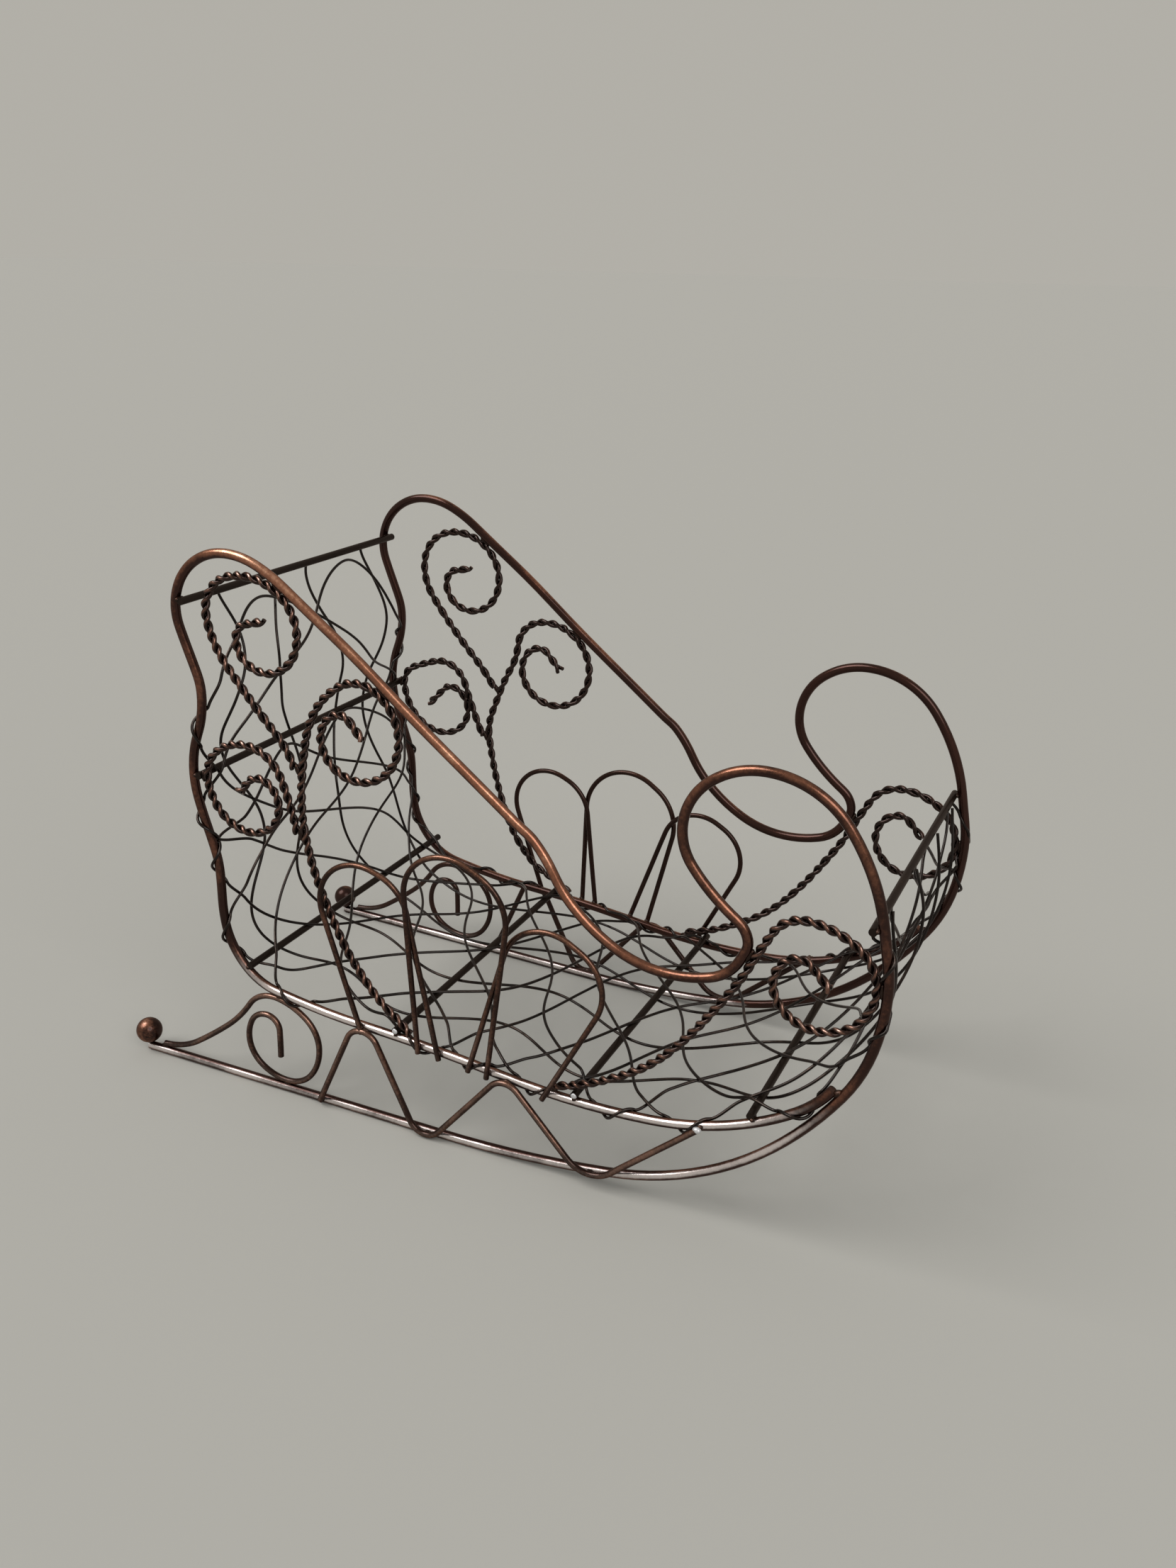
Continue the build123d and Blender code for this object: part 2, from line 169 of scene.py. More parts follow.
def centreLine(solid, radius, step):
    # a vertex lies one radius out from the wire's centre, except on the rims of its two ends
    sharp = math.radians(reading["rimAngle"])
    rims = {
        v for v in solid for e in v.link_edges if e.is_manifold and e.calc_face_angle() > sharp
    }
    centres = {v: v.co - v.normal * radius for v in solid}
    somewhere = distancesFrom(solid[0], centres)
    along = distancesFrom(max(somewhere, key=somewhere.get), centres)
    whole = max(along.values())
    ends = []
    for place in (0.0, whole):
        near = reading["rimReach"] * radius
        rim = [v.co for v in solid if v in rims and abs(along[v] - place) < near]
        ends.append(sum(rim, Vector()) / len(rim))
    bins = {}
    for vertex, distance in along.items():
        if vertex not in rims and step < distance < whole - step:
            bins.setdefault(round(distance / step), []).append(centres[vertex])
    middles = [sum(bins[key], Vector()) / len(bins[key]) for key in sorted(bins)]
    line = [ends[0]] + middles + [ends[1]]
    if line[0].z > line[-1].z:
        line.reverse()          # every wire starts at its lower end
    return evenly([tuple(p) for p in line], step)


def evenly(line, step):
    # the same line with its points at equal distances
    spots = np.array(line)
    along = np.concatenate([[0.0], np.cumsum(np.linalg.norm(np.diff(spots, axis=0), axis=1))])
    places = np.linspace(0.0, along[-1], max(3, round(along[-1] / step) + 1))
    return np.column_stack([np.interp(places, along, spots[:, axis]) for axis in range(3)])


def centreLines(nodeName, diameter):
    # one line for each wire of a node; the node's own mesh stays as it is
    shell = bmesh.new()
    shell.from_mesh(nodes[nodeName].data)
    bmesh.ops.remove_doubles(shell, verts=shell.verts, dist=reading["merge"] * mm)
    shell.normal_update()
    step = reading["step"] * mm
    found = [centreLine(solid, diameter * mm / 2, step) for solid in solidsOf(shell)]
    shell.free()
    return found


def touching(first, second, gap, apart):
    # where one line passes nearer than gap to another, as places along both
    reach = np.linalg.norm(first[:, None, :] - second[None, :, :], axis=2)
    nearest = reach.argmin(axis=1)
    distance = reach.min(axis=1)
    taken = []
    for i in np.argsort(distance, kind="stable"):
        if distance[i] > gap:
            break
        if all(abs(i - other) * reading["step"] * mm > apart for other in taken):
            taken.append(i)
    return [(int(i), int(nearest[i])) for i in taken]


def directions(line):
    ways = np.gradient(line, axis=0)
    return ways / np.linalg.norm(ways, axis=1)[:, None]


def linesObject(name, lines):
    mesh = bpy.data.meshes.new(name)
    places, edges = [], []
    for line in lines:
        first = len(places)
        places += [tuple(p) for p in line]
        edges += [(i, i + 1) for i in range(first, len(places) - 1)]
    mesh.from_pydata(places, edges, [])
    piece = bpy.data.objects.new(name, mesh)
    bpy.context.scene.collection.objects.link(piece)
    return piece


def spotsObject(name, spots):
    # one point for each spot, with the way it lies and its size
    mesh = bpy.data.meshes.new(name)
    mesh.from_pydata([tuple(place) for place, axis, size in spots], [], [])
    for label, column in (("axis", 1), ("size", 2)):
        layer = mesh.attributes.new(label, "FLOAT_VECTOR", "POINT")
        layer.data.foreach_set("vector", [part for spot in spots for part in spot[column]])
    piece = bpy.data.objects.new(name, mesh)
    bpy.context.scene.collection.objects.link(piece)
    return piece


def grow(piece, tree, values):
    # runs a tree on a piece and keeps its result as a plain mesh
    modifier = piece.modifiers.new(tree.name, "NODES")
    modifier.node_group = tree
    for item in tree.interface.items_tree:
        if item.item_type == "SOCKET" and item.in_out == "INPUT" and item.name in values:
            modifier[item.identifier] = values[item.name]
    bpy.context.view_layer.update()
    evaluated = piece.evaluated_get(bpy.context.evaluated_depsgraph_get())
    grown = bpy.data.meshes.new_from_object(evaluated)
    grown.name = piece.name
    piece.modifiers.remove(modifier)
    old = piece.data
    piece.data = grown
    bpy.data.meshes.remove(old)
    return piece


# the trees that make wires and weld beads

def smoothPath(tree, start):
    # the piece's lines as smooth curves with evenly spaced points
    curve = addNode(tree, "GeometryNodeMeshToCurve")
    tree.links.new(start.outputs["Geometry"], curve.inputs["Mesh"])
    bend = addNode(tree, "GeometryNodeCurveSplineType", spline_type="CATMULL_ROM")
    tree.links.new(curve.outputs["Curve"], bend.inputs["Curve"])
    even = addNode(tree, "GeometryNodeResampleCurve")
    even.mode = "LENGTH"
    tree.links.new(bend.outputs["Curve"], even.inputs["Curve"])
    tree.links.new(start.outputs["Step"], even.inputs["Length"])
    return even.outputs["Curve"]


def wireSkin(tree, start, curve):
    # a round skin of the wire's radius along a curve
    section = addNode(tree, "GeometryNodeCurvePrimitiveCircle")
    tree.links.new(start.outputs["Sides"], section.inputs["Resolution"])
    tree.links.new(start.outputs["Radius"], section.inputs["Radius"])
    skin = addNode(tree, "GeometryNodeCurveToMesh")
    skin.inputs["Fill Caps"].default_value = True
    tree.links.new(curve, skin.inputs["Curve"])
    tree.links.new(section.outputs["Curve"], skin.inputs["Profile Curve"])
    return skin.outputs["Mesh"]


def unevenness(tree, start, amount, scale):
    # a small shift that changes slowly along a piece
    noise = addNode(tree, "ShaderNodeTexNoise", noise_dimensions="4D")
    feed(tree, noise.inputs["Scale"], scale)
    feed(tree, noise.inputs["W"], start.outputs["Seed"])
    noise.inputs["Detail"].default_value = 1.0
    centred = vectorCalc(tree, "SUBTRACT", noise.outputs["Color"], (0.5, 0.5, 0.5))
    return scaled(tree, centred, amount)


def moved(tree, geometry, offset):
    node = addNode(tree, "GeometryNodeSetPosition")
    tree.links.new(geometry, node.inputs["Geometry"])
    tree.links.new(offset, node.inputs["Offset"])
    return node.outputs["Geometry"]


def roundWireTree():
    tree, start, end = newGeometryTree("roundWire", [
        ("Radius", "NodeSocketFloat", 0.002),
        ("Sides", "NodeSocketInt", 12),
        ("Step", "NodeSocketFloat", 0.001),
        ("Wander", "NodeSocketFloat", 0.0),
        ("Wander Scale", "NodeSocketFloat", 60.0),
        ("Seed", "NodeSocketFloat", 0.0),
    ])
    wander = unevenness(tree, start, start.outputs["Wander"], start.outputs["Wander Scale"])
    path = moved(tree, smoothPath(tree, start), wander)
    closeTree(tree, start, end, wireSkin(tree, start, path))
    return tree


def twistedWireTree(strands):
    tree, start, end = newGeometryTree("twistedWire", [
        ("Radius", "NodeSocketFloat", 0.00095),
        ("Sides", "NodeSocketInt", 8),
        ("Step", "NodeSocketFloat", 0.0006),
        ("Pitch", "NodeSocketFloat", 0.009),
        ("Start Angle", "NodeSocketFloat", 0.0),
        ("Uneven", "NodeSocketFloat", 0.4),
        ("Uneven Scale", "NodeSocketFloat", 40.0),
        ("Splay", "NodeSocketFloat", 0.0006),
        ("Splay Length", "NodeSocketFloat", 0.004),
        ("Seed", "NodeSocketFloat", 0.0),
    ])
    path = smoothPath(tree, start)
    along = addNode(tree, "GeometryNodeSplineParameter").outputs["Length"]
    whole = addNode(tree, "GeometryNodeSplineLength").outputs["Length"]
    tangent = addNode(tree, "GeometryNodeInputTangent").outputs["Tangent"]
    normal = addNode(tree, "GeometryNodeInputNormal").outputs["Normal"]
    across = vectorCalc(tree, "CROSS_PRODUCT", tangent, normal)
    noise = addNode(tree, "ShaderNodeTexNoise", noise_dimensions="1D")
    slow = start.outputs["Uneven Scale"]
    feed(tree, noise.inputs["W"], calc(tree, "MULTIPLY_ADD", along, slow, start.outputs["Seed"]))
    centred = calc(tree, "SUBTRACT", noise.outputs[0], 0.5)
    sway = calc(tree, "MULTIPLY", centred, start.outputs["Uneven"])
    turns = calc(tree, "DIVIDE", along, start.outputs["Pitch"])
    first = calc(tree, "ADD", sway, start.outputs["Start Angle"])
    angle = calc(tree, "MULTIPLY_ADD", turns, 2 * math.pi, first)
    # near the free end the strands part a little
    rest = calc(tree, "SUBTRACT", whole, along)
    left = calc(tree, "DIVIDE", rest, start.outputs["Splay Length"])
    parting = calc(tree, "MAXIMUM", calc(tree, "SUBTRACT", 1.0, left), 0.0)
    parting = calc(tree, "MULTIPLY", parting, parting)
    parting = calc(tree, "MULTIPLY", parting, start.outputs["Splay"])
    reach = calc(tree, "ADD", start.outputs["Radius"], parting)
    # every point remembers the middle of the pair, so that its crests can be found
    kept = addNode(tree, "GeometryNodeCaptureAttribute")
    kept.capture_items.new("VECTOR", "Middle")
    where = addNode(tree, "GeometryNodeInputPosition").outputs["Position"]
    tree.links.new(path, kept.inputs["Geometry"])
    tree.links.new(where, kept.inputs["Middle"])
    path = kept.outputs["Geometry"]
    joined = addNode(tree, "GeometryNodeJoinGeometry")
    for strand in range(strands):
        turned = calc(tree, "ADD", angle, 2 * math.pi * strand / strands)
        out = scaled(tree, normal, calc(tree, "COSINE", turned))
        over = scaled(tree, across, calc(tree, "SINE", turned))
        offset = scaled(tree, vectorCalc(tree, "ADD", out, over), reach)
        tree.links.new(wireSkin(tree, start, moved(tree, path, offset)), joined.inputs["Geometry"])
    away = vectorCalc(tree, "SUBTRACT", where, kept.outputs["Middle"])
    distance = addNode(tree, "ShaderNodeVectorMath", operation="LENGTH")
    tree.links.new(away, distance.inputs[0])
    outermost = calc(tree, "MULTIPLY", start.outputs["Radius"], 2.0)
    crest = calc(tree, "DIVIDE", distance.outputs["Value"], outermost)
    marked = addNode(tree, "GeometryNodeStoreNamedAttribute", data_type="FLOAT", domain="POINT")
    marked.inputs["Name"].default_value = "crest"
    tree.links.new(joined.outputs["Geometry"], marked.inputs["Geometry"])
    tree.links.new(crest, marked.inputs["Value"])
    closeTree(tree, start, end, marked.outputs["Geometry"])
    return tree


def atSpots(tree, start, instance):
    # a shape at every spot, lying along the spot's axis and as large as its size says
    spots = addNode(tree, "GeometryNodeMeshToPoints")
    tree.links.new(start.outputs["Geometry"], spots.inputs["Mesh"])
    axis = addNode(tree, "GeometryNodeInputNamedAttribute", data_type="FLOAT_VECTOR")
    axis.inputs["Name"].default_value = "axis"
    size = addNode(tree, "GeometryNodeInputNamedAttribute", data_type="FLOAT_VECTOR")
    size.inputs["Name"].default_value = "size"
    aligned = addNode(tree, "FunctionNodeAlignRotationToVector", axis="X")
    tree.links.new(axis.outputs["Attribute"], aligned.inputs["Vector"])
    placed = addNode(tree, "GeometryNodeInstanceOnPoints")
    tree.links.new(spots.outputs["Points"], placed.inputs["Points"])
    tree.links.new(instance, placed.inputs["Instance"])
    tree.links.new(aligned.outputs["Rotation"], placed.inputs["Rotation"])
    tree.links.new(size.outputs["Attribute"], placed.inputs["Scale"])
    real = addNode(tree, "GeometryNodeRealizeInstances")
    tree.links.new(placed.outputs["Instances"], real.inputs["Geometry"])
    return real.outputs["Geometry"]


def beadTree():
    tree, start, end = newGeometryTree("weldBeads", [
        ("Rough", "NodeSocketFloat", 0.0003),
        ("Rough Scale", "NodeSocketFloat", 900.0),
        ("Seed", "NodeSocketFloat", 3.0),
    ])
    bead = addNode(tree, "GeometryNodeMeshIcoSphere")
    bead.inputs["Radius"].default_value = 1.0
    bead.inputs["Subdivisions"].default_value = 2
    beads = atSpots(tree, start, bead.outputs["Mesh"])
    lumps = unevenness(tree, start, start.outputs["Rough"], start.outputs["Rough Scale"])
    closeTree(tree, start, end, moved(tree, beads, lumps))
    return tree


# bronze finishes

def newShaderGroup(name, inputs, outputs):
    tree = bpy.data.node_groups.new(name, "ShaderNodeTree")
    for label, value in inputs:
        socket = tree.interface.new_socket(label, in_out="INPUT", socket_type="NodeSocketFloat")
        socket.default_value = value
    for label in outputs:
        tree.interface.new_socket(label, in_out="OUTPUT", socket_type="NodeSocketFloat")
    return tree, addNode(tree, "NodeGroupInput"), addNode(tree, "NodeGroupOutput")


def noiseOf(tree, where, scale, detail, roughness=0.5):
    noise = addNode(tree, "ShaderNodeTexNoise")
    tree.links.new(where, noise.inputs["Vector"])
    feed(tree, noise.inputs["Scale"], scale)
    noise.inputs["Detail"].default_value = detail
    noise.inputs["Roughness"].default_value = roughness
    return noise.outputs[0]


def smoothStep(tree, value, low, high):
    step = addNode(tree, "ShaderNodeMapRange", interpolation_type="SMOOTHSTEP")
    feed(tree, step.inputs["Value"], value)
    feed(tree, step.inputs["From Min"], low)
    feed(tree, step.inputs["From Max"], high)
    return step.outputs["Result"]


wearAndSheen = {
    # each pair fades the wear and the painted sheen in, from its first height or place, in mm, to
    # its second
    "railHeight": (80, 135), "railFront": (85, 45), "railBack": (-128, -112),
    "runnerHeight": (20, 8),            # runners alone
    "lowHeight": (70, 50),              # runners and floor rails
    # how much a side is lightened by the way it faces: a painted highlight on the sides turned up
    # and outward, mixed with wear; what ends in AtRunner is added at the runners
    "up": 0.60, "upAtRunner": -0.75, "out": 0.46,
    # the streak is a painted silver highlight on the low wires, partly bare metal
    "streakUp": 0.55, "streakUpAtRunner": -0.22, "streakOut": 0.90,
    "streakPatches": 0.45, "streakSpeckle": 0.25,
    # level of wear and painted sheen at which each layer starts to show, and shows fully
    "rubbedAndLit": (0.42, 1.15), "brightSheen": (0.98, 1.45), "streak": (0.76, 1.02), "crest": (0.84, 1.02),
}


def wearAndSheenGroup():
    # where the dark finish is rubbed through, on the rails and in uneven patches, together with a
    # painted highlight on the sides that face up and outward; it also gives the mask of the
    # painted silver highlight on the low wires
    tree, start, end = newShaderGroup("wearAndSheenShader", [
        ("Amount", 0.5), ("Patch Scale", 60.0), ("Speckle Scale", 700.0), ("Patchiness", 0.8),
        ("Speckle", 0.6), ("Rail Wear", 0.0), ("Crest", 0.0),
    ], ["Rubbed", "Bright", "Patches", "Streak"])
    where = addNode(tree, "ShaderNodeTexCoord").outputs["Object"]
    place = addNode(tree, "ShaderNodeSeparateXYZ")
    tree.links.new(where, place.inputs[0])
    facing = addNode(tree, "ShaderNodeSeparateXYZ")
    normal = addNode(tree, "ShaderNodeNewGeometry").outputs["Normal"]
    tree.links.new(normal, facing.inputs[0])
    outward = calc(tree, "MULTIPLY", facing.outputs["Y"], calc(tree, "SIGN", place.outputs["Y"]))

    def within(axis, pair):
        first, second = wearAndSheen[pair]
        return smoothStep(tree, place.outputs[axis], first * mm, second * mm)

    # the slanted rails are held and rub most; the sides that face up and outward get a painted
    # highlight, the runners mostly on their outer side
    rail = calc(tree, "MULTIPLY", within("Z", "railHeight"), within("X", "railFront"))
    rail = calc(tree, "MULTIPLY", rail, within("X", "railBack"))
    ground = within("Z", "runnerHeight")
    upShare = calc(tree, "MULTIPLY_ADD", ground, wearAndSheen["upAtRunner"], wearAndSheen["up"])
    upWearAndSheen = calc(tree, "MULTIPLY", facing.outputs["Z"], upShare)
    outWearAndSheen = calc(tree, "MULTIPLY_ADD", outward, wearAndSheen["out"], upWearAndSheen)
    exposed = calc(tree, "MULTIPLY_ADD", rail, start.outputs["Rail Wear"], outWearAndSheen)
    patches = noiseOf(tree, where, start.outputs["Patch Scale"], detail=3.0)
    speckles = noiseOf(tree, where, start.outputs["Speckle Scale"], detail=3.0, roughness=0.7)
    patchy = calc(tree, "SUBTRACT", patches, 0.5)
    patchy = calc(tree, "MULTIPLY", patchy, start.outputs["Patchiness"])
    spotty = calc(tree, "SUBTRACT", speckles, 0.5)
    spotty = calc(tree, "MULTIPLY", spotty, start.outputs["Speckle"])
    wearAndSheenLevel = calc(tree, "ADD", exposed, patchy)
    wearAndSheenLevel = calc(tree, "ADD", wearAndSheenLevel, calc(tree, "ADD", spotty, start.outputs["Amount"]))
    wearAndSheenLevel = calc(tree, "ADD", wearAndSheenLevel, start.outputs["Crest"])
    # a painted silver highlight, partly bare metal: along the outer side of the floor rails, and
    # along both sides of the runners
    inner = calc(tree, "SUBTRACT", calc(tree, "ABSOLUTE", facing.outputs["Y"]), outward)
    sideways = calc(tree, "MULTIPLY_ADD", inner, ground, outward)
    side = calc(tree, "MULTIPLY", sideways, wearAndSheen["streakOut"])
    upShare = calc(tree, "MULTIPLY_ADD", ground, wearAndSheen["streakUpAtRunner"], wearAndSheen["streakUp"])
    side = calc(tree, "MULTIPLY_ADD", facing.outputs["Z"], upShare, side)
    side = calc(tree, "MULTIPLY_ADD", spotty, wearAndSheen["streakSpeckle"], side)
    side = calc(tree, "MULTIPLY_ADD", patchy, wearAndSheen["streakPatches"], side)
    streak = smoothStep(tree, side, *wearAndSheen["streak"])
    streak = calc(tree, "MULTIPLY", streak, within("Z", "lowHeight"))
    tree.links.new(streak, end.inputs["Streak"])
    tree.links.new(smoothStep(tree, wearAndSheenLevel, *wearAndSheen["rubbedAndLit"]), end.inputs["Rubbed"])
    tree.links.new(smoothStep(tree, wearAndSheenLevel, *wearAndSheen["brightSheen"]), end.inputs["Bright"])
    tree.links.new(patches, end.inputs["Patches"])
    return tree


def mixColour(tree, factor, first, second):
    node = addNode(tree, "ShaderNodeMix", data_type="RGBA")
    feed(tree, node.inputs[0], factor)
    feed(tree, node.inputs[6], first)
    feed(tree, node.inputs[7], second)
    return node.outputs[2]


lacquer = {
    "grain": 1.7,              # fineness of its grain, in speckle scales
    "glossSpread": 0.12,       # how far the roughness varies to either side
    "coatRoughness": 0.12, "tint": (0.55, 0.46, 0.42, 1),
    "bumpDepth": 0.2,          # mm
}


def bronzeMaterial(name, look):
    # nearly black lacquer over copper: red-brown where it thins, copper where it is rubbed
    # through, with a painted highlight of copper and pale pink where it faces up and out
    material = bpy.data.materials.new(name)
    material.use_nodes = True
    tree = material.node_tree
    tree.nodes.clear()
    surface = addNode(tree, "ShaderNodeBsdfPrincipled")
    output = addNode(tree, "ShaderNodeOutputMaterial")
    tree.links.new(surface.outputs[0], output.inputs["Surface"])
    rubbedAndLit = addNode(tree, "ShaderNodeGroup", node_tree=wearAndSheenShader)
    for label, value in look["rubAndSheen"].items():
        rubbedAndLit.inputs[label].default_value = value
    where = addNode(tree, "ShaderNodeTexCoord").outputs["Object"]
    fineness = look["rubAndSheen"]["Speckle Scale"] * lacquer["grain"]
    grain = noiseOf(tree, where, fineness, detail=4.0, roughness=0.7)
    base = mixColour(tree, rubbedAndLit.outputs["Patches"], look["dark"], look["brown"])
    colour = mixColour(tree, rubbedAndLit.outputs["Rubbed"], base, look["copper"])
    # the palest layer is a painted highlight over the rubbed copper
    colour = mixColour(tree, rubbedAndLit.outputs["Bright"], colour, look["brightSheen"])
    if "crest" in look:
        # a painted highlight, with some wear, along the crests of the twisted wire's strands
        crest = addNode(tree, "ShaderNodeAttribute", attribute_name="crest").outputs["Fac"]
        share = smoothStep(tree, crest, *wearAndSheen["crest"])
        feed(tree, rubbedAndLit.inputs["Crest"], calc(tree, "MULTIPLY", share, look["crest"]))
    if "streak" in look:
        # a painted silver highlight, partly bare metal, along the side of the low wires
        bare = calc(tree, "MULTIPLY", rubbedAndLit.outputs["Streak"], look["streak"])
        colour = mixColour(tree, bare, colour, look["silverSheen"])
    tree.links.new(colour, surface.inputs["Base Color"])
    spread = lacquer["glossSpread"]
    gloss = calc(tree, "MULTIPLY_ADD", grain, 2 * spread, look["roughness"] - spread)
    tree.links.new(gloss, surface.inputs["Roughness"])
    surface.inputs["Metallic"].default_value = look["metallic"]
    surface.inputs["Coat Weight"].default_value = look["coat"]
    surface.inputs["Coat Roughness"].default_value = lacquer["coatRoughness"]
    surface.inputs["Specular Tint"].default_value = lacquer["tint"]
    bump = addNode(tree, "ShaderNodeBump")
    bump.inputs["Strength"].default_value = look["bump"]
    bump.inputs["Distance"].default_value = lacquer["bumpDepth"] * mm
    tree.links.new(grain, bump.inputs["Height"])
    tree.links.new(bump.outputs["Normal"], surface.inputs["Normal"])
    return material


bareMetal = {
    "grain": 1500.0, "grey": (0.42, 0.41, 0.40, 1), "white": (0.86, 0.86, 0.88, 1),
    "roughness": 0.3, "roughnessSpread": 0.25, "metallic": 0.6,
}


def bareWeldMaterial(name):
    # bright metal where a joint has lost its finish
    material = bpy.data.materials.new(name)
    material.use_nodes = True
    tree = material.node_tree
    surface = tree.nodes["Principled BSDF"]
    where = addNode(tree, "ShaderNodeTexCoord").outputs["Object"]
    grain = noiseOf(tree, where, bareMetal["grain"], detail=3.0, roughness=0.6)
    colour = mixColour(tree, grain, bareMetal["grey"], bareMetal["white"])
    tree.links.new(colour, surface.inputs["Base Color"])
    spread, least = bareMetal["roughnessSpread"], bareMetal["roughness"]
    tree.links.new(calc(tree, "MULTIPLY_ADD", grain, spread, least), surface.inputs["Roughness"])
    surface.inputs["Metallic"].default_value = bareMetal["metallic"]
    return material


# the first entry of a look holds the inputs of the group that paints wear and highlight; the
# streak share is how strong the painted silver highlight, partly bare metal, is along the side of
# the low wires, and the crest share how much painted highlight, with some wear, the crests of a
# twist get
looks = {
    # heavy wire: copper along the slanted rails and a painted copper highlight on the sides that
    # face up and out, nearly black elsewhere
    "frame": {
        "rubAndSheen": {
            "Amount": 0.11, "Rail Wear": 0.30, "Patch Scale": 45.0, "Speckle Scale": 650.0,
            "Patchiness": 0.9, "Speckle": 0.55,
        },
        # silver of the painted highlight along the low wires, partly bare metal
        "streak": 0.85, "silverSheen": (0.82, 0.75, 0.73, 1),
        "dark": (0.013, 0.0045, 0.003, 1), "brown": (0.062, 0.020, 0.012, 1),
        "copper": (0.35, 0.142, 0.080, 1), "brightSheen": (0.86, 0.50, 0.33, 1),
        "roughness": 0.23, "metallic": 0.9, "coat": 0.35, "bump": 0.15,
    },
    # thinner plain wire: browner and less rubbed
    "plain": {
        "rubAndSheen": {
            "Amount": 0.17, "Patch Scale": 60.0, "Speckle Scale": 800.0,
            "Patchiness": 0.9, "Speckle": 0.8,
        },
        "streak": 0.1, "silverSheen": (0.62, 0.53, 0.48, 1),
        "dark": (0.012, 0.006, 0.004, 1), "brown": (0.052, 0.020, 0.013, 1),
        "copper": (0.22, 0.100, 0.061, 1), "brightSheen": (0.60, 0.43, 0.35, 1),
        "roughness": 0.27, "metallic": 0.9, "coat": 0.3, "bump": 0.2,
    },
    # twisted wire: nearly black, with a painted highlight along the crests of its strands
    "twisted": {
        "rubAndSheen": {
            "Amount": -0.30, "Patch Scale": 60.0, "Speckle Scale": 900.0,
            "Patchiness": 0.6, "Speckle": 0.6,
        },
        "crest": 0.72,
        "dark": (0.010, 0.005, 0.0035, 1), "brown": (0.038, 0.017, 0.012, 1),
        "copper": (0.20, 0.096, 0.065, 1), "brightSheen": (0.72, 0.52, 0.44, 1),
        "roughness": 0.24, "metallic": 0.85, "coat": 0.4, "bump": 0.15,
    },
    # cross bars: dull dark brown
    "bar": {
        "rubAndSheen": {
            "Amount": -0.26, "Patch Scale": 50.0, "Speckle Scale": 700.0,
            "Patchiness": 0.8, "Speckle": 0.9,
        },
        "dark": (0.009, 0.006, 0.0045, 1), "brown": (0.026, 0.016, 0.011, 1),
        "copper": (0.11, 0.068, 0.045, 1), "brightSheen": (0.28, 0.20, 0.15, 1),
        "roughness": 0.38, "metallic": 0.7, "coat": 0.10, "bump": 0.25,
    },
    # thin wire of the mat
    "mat": {
        "rubAndSheen": {
            "Amount": -0.16, "Patch Scale": 70.0, "Speckle Scale": 900.0,
            "Patchiness": 0.9, "Speckle": 0.8,
        },
        "dark": (0.004, 0.003, 0.0025, 1), "brown": (0.016, 0.009, 0.006, 1),
        "copper": (0.11, 0.068, 0.050, 1), "brightSheen": (0.48, 0.39, 0.34, 1),
        "roughness": 0.20, "metallic": 0.7, "coat": 0.35, "bump": 0.1,
    },
    # balls on the tails, rubbed all round
    "ball": {
        "rubAndSheen": {
            "Amount": 0.30, "Patch Scale": 120.0, "Speckle Scale": 650.0,
            "Patchiness": 1.2, "Speckle": 1.2,
        },
        "dark": (0.012, 0.005, 0.004, 1), "brown": (0.050, 0.020, 0.014, 1),
        "copper": (0.24, 0.105, 0.065, 1), "brightSheen": (0.60, 0.38, 0.28, 1),
        "roughness": 0.33, "metallic": 0.9, "coat": 0.25, "bump": 0.35,
    },
    # weld beads
    "weld": {
        "rubAndSheen": {
            "Amount": -0.05, "Patch Scale": 200.0, "Speckle Scale": 1200.0,
            "Patchiness": 0.8, "Speckle": 1.0,
        },
        "dark": (0.012, 0.007, 0.005, 1), "brown": (0.038, 0.020, 0.014, 1),
        "copper": (0.16, 0.08, 0.052, 1), "brightSheen": (0.42, 0.32, 0.26, 1),
        "roughness": 0.36, "metallic": 0.85, "coat": 0.2, "bump": 0.4,
    },
}
wearAndSheenShader = wearAndSheenGroup()
paints = {key: bronzeMaterial(key + "Bronze", look) for key, look in looks.items()}
paints["bare"] = bareWeldMaterial("bareWeld")
print("materials:", len(paints))


sharpAngle = 50         # degrees; wires are round, and only their cut ends have an edge


def finishPiece(piece, paint, *replaced):
    piece.data.polygons.foreach_set("use_smooth", [True] * len(piece.data.polygons))
    piece.data.set_sharp_from_angle(angle=math.radians(sharpAngle))
    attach(piece, "root")
    if replaced:
        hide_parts(*replaced)
    print("  ", piece.name, len(piece.data.polygons), "faces")


# plain wires of the two sides and the cross bars

roundWire = roundWireTree()
lines = {}          # the centre lines of every node
across = {}         # and its wire's diameter, in mm

# sizes in mm; a wire wanders by as much as "wander", in waves set by "wanderScale"
archWire = {
    "across": 2.4, "paint": "plain", "sides": 14, "step": 1.0, "wander": 0.2, "wanderScale": 40.0,
    "foot": 2.8,        # how far its feet run on past the middle of the rail
}
thinWire = {
    "across": 2.7, "paint": "plain", "sides": 14, "step": 1.0, "wander": 0.15, "wanderScale": 40.0,
}
frameWire = {
    "across": 4.0, "paint": "frame", "sides": 20, "step": 1.2, "wander": 0.0, "wanderScale": 30.0,
}
barWire = {
    "across": 3.2, "paint": "bar", "sides": 16, "step": 1.5, "wander": 0.3, "wanderScale": 15.0,
    "seed": 3.0,
}
sideWires = {
    "frame_wire": frameWire, "runner_scroll": thinWire, "zigzag_brace": thinWire,
    "rear_arch": archWire, "mid_arch": archWire, "front_arch": archWire,
}


